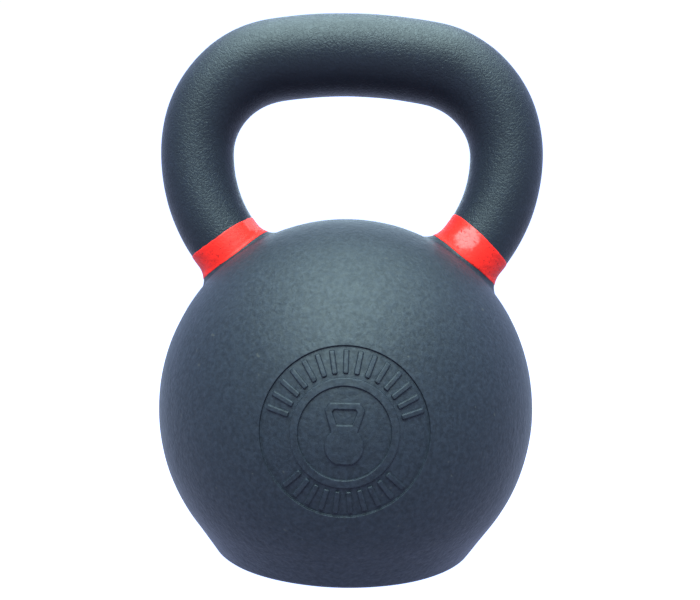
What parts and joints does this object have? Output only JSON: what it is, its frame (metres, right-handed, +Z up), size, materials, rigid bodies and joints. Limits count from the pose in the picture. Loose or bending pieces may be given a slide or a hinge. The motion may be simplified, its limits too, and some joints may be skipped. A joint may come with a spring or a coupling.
{
  "type": "kettlebell",
  "caption": "One-piece cast-iron kettlebell: a ball on a flat foot under a broad looped handle, with a painted band at the foot of each horn and a plain relief medallion.",
  "frame": {"origin": "centre of the flat base, at floor level", "axes": "+Z up, X along the handle, and the medallion faces -Y"},
  "size_m": [0.1786, 0.17, 0.2465],
  "materials": {
    "ball_coat": "fine matte powder coat, blue-grey black",
    "handle_coat": "coarser leathery powder coat, satin, blue-grey black",
    "band_paint": "glossy red paint",
    "relief_coat": "fine matte powder coat over cast relief"
  },
  "bodies": {
    "root": {"ball": "ball_coat", "handle": "handle_coat", "left_band": "band_paint", "right_band": "band_paint", "mark_ring": "relief_coat", "mark_bars": "relief_coat", "mark_badge": "relief_coat"}
  },
  "joints": []
}
